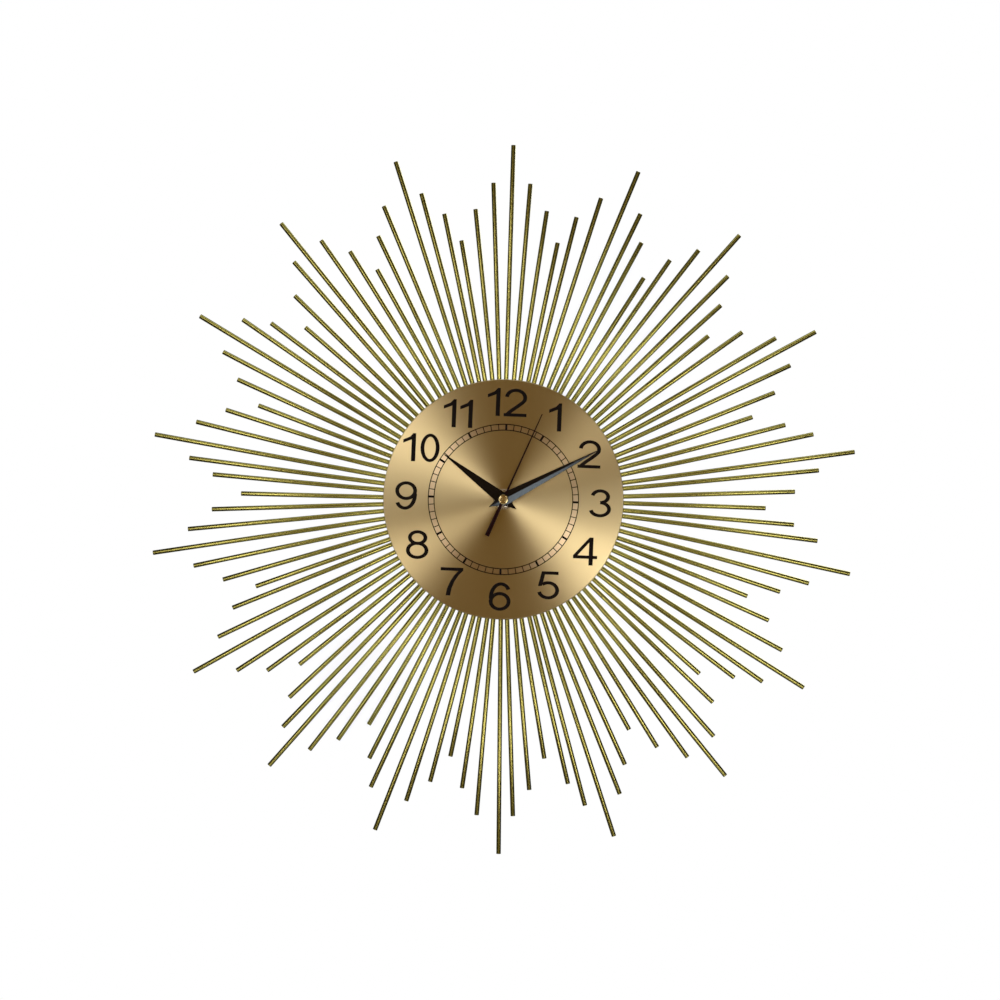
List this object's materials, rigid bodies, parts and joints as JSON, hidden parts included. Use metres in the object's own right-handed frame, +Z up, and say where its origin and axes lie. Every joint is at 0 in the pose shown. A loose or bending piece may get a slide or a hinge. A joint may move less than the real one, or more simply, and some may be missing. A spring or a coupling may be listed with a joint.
{
  "type": "sunburst wall clock",
  "caption": "Round wall clock: brushed gold dial with black numerals and tapered hands, inside a burst of straight gold rays in stepped lengths; quartz movement behind.",
  "frame": {"origin": "where the hands' axis meets the wall, on the flat back of the movement case", "axes": "+Y goes into the wall along the hands' axis, so the front faces -Y; +Z is up towards twelve; +X is to the viewer's right"},
  "size_m": [0.5021, 0.0254, 0.5079],
  "materials": {
    "brass_ray": "polished, lacquered",
    "brushed_gold": "circular brushed, champagne gold",
    "frame_gold": "satin gold paint",
    "black_print": "printed ink",
    "black_hand": "gloss black",
    "brass_fastener": "turned",
    "nickel_fastener": "nickel plated, turned",
    "case_plastic": "moulded black",
    "white_gear": "moulded acetal",
    "bridge_plastic": "moulded grey",
    "rubber": "matt",
    "steel": "bright",
    "magnet": "sintered",
    "copper": "enamelled copper wire",
    "bobbin_plastic": "moulded",
    "board": "solder resist",
    "chip": "epoxy",
    "battery_jacket": "sleeved cell",
    "spring_contact": "plated strip"
  },
  "bodies": {
    "clock_body": {"dial_plate": "brushed_gold", "dial_numerals": "black_print", "minute_track": "black_print", "back_disc": "frame_gold", "long_rays": "brass_ray", "mid_long_rays": "brass_ray", "mid_short_rays": "brass_ray", "short_rays": "brass_ray", "hanger_bracket": "frame_gold", "rubber_gasket": "rubber", "dial_washer": "nickel_fastener", "hex_nut": "nickel_fastener", "threaded_bush": "nickel_fastener", "case_front": "case_plastic", "case_back": "case_plastic", "gear_bridge": "bridge_plastic", "battery": "battery_jacket", "battery_contact_positive": "spring_contact", "battery_contact_negative": "spring_contact", "circuit_board": "board", "clock_chip": "chip", "quartz_crystal": "steel", "stator": "steel", "coil_core": "steel", "coil_bobbin": "bobbin_plastic", "coil_winding": "copper"},
    "seconds": {"second_wheel": "white_gear", "second_arbor": "steel", "second_hand": "black_hand", "hub_cap": "brass_fastener"},
    "minutes": {"centre_wheel": "white_gear", "minute_arbor": "steel", "minute_hand": "black_hand", "minute_collet": "black_hand"},
    "hours": {"hour_wheel": "white_gear", "hour_hand": "black_hand", "hour_collet": "black_hand"},
    "rotor": {"rotor_magnet": "magnet", "rotor_pinion": "white_gear"},
    "step": {"step_wheel": "white_gear"},
    "third": {"third_wheel": "white_gear"},
    "reverse": {"reverse_wheel": "white_gear"},
    "setting": {"set_gear": "white_gear", "set_knob": "case_plastic"}
  },
  "joints": [
    {"name": "seconds_spin", "type": "hinge", "parent": "clock_body", "child": "seconds", "pos_m": [0, -0.024, 0], "axis": [0, 1, 0], "continuous": true},
    {"name": "minutes_spin", "type": "hinge", "parent": "clock_body", "child": "minutes", "pos_m": [0, -0.0225, 0], "axis": [0, 1, 0], "continuous": true},
    {"name": "hours_spin", "type": "hinge", "parent": "clock_body", "child": "hours", "pos_m": [0, -0.0212, 0], "axis": [0, 1, 0], "continuous": true},
    {"name": "rotor_spin", "type": "hinge", "parent": "clock_body", "child": "rotor", "pos_m": [-0.00875, -0.003, 0.01055], "axis": [0, 1, 0], "continuous": true},
    {"name": "step_spin", "type": "hinge", "parent": "clock_body", "child": "step", "pos_m": [-0.0036, -0.0045, 0.00624], "axis": [0, 1, 0], "continuous": true},
    {"name": "third_spin", "type": "hinge", "parent": "clock_body", "child": "third", "pos_m": [0.00656, -0.008, 0.00781], "axis": [0, 1, 0], "continuous": true},
    {"name": "reverse_spin", "type": "hinge", "parent": "clock_body", "child": "reverse", "pos_m": [-0.00993, -0.0114, 0.00175], "axis": [0, 1, 0], "continuous": true},
    {"name": "setting_spin", "type": "hinge", "parent": "clock_body", "child": "setting", "pos_m": [-0.0194, -0.0013, -0.0017], "axis": [0, 1, 0], "continuous": true}
  ],
  "couplings": [
    {"joint": "minutes_spin", "follows": "seconds_spin", "ratio": 0.016667},
    {"joint": "hours_spin", "follows": "seconds_spin", "ratio": 0.0013889},
    {"joint": "rotor_spin", "follows": "seconds_spin", "ratio": 30},
    {"joint": "step_spin", "follows": "seconds_spin", "ratio": -5},
    {"joint": "third_spin", "follows": "seconds_spin", "ratio": -0.13333},
    {"joint": "reverse_spin", "follows": "seconds_spin", "ratio": -0.0055556},
    {"joint": "setting_spin", "follows": "seconds_spin", "ratio": 0.016667}
  ]
}
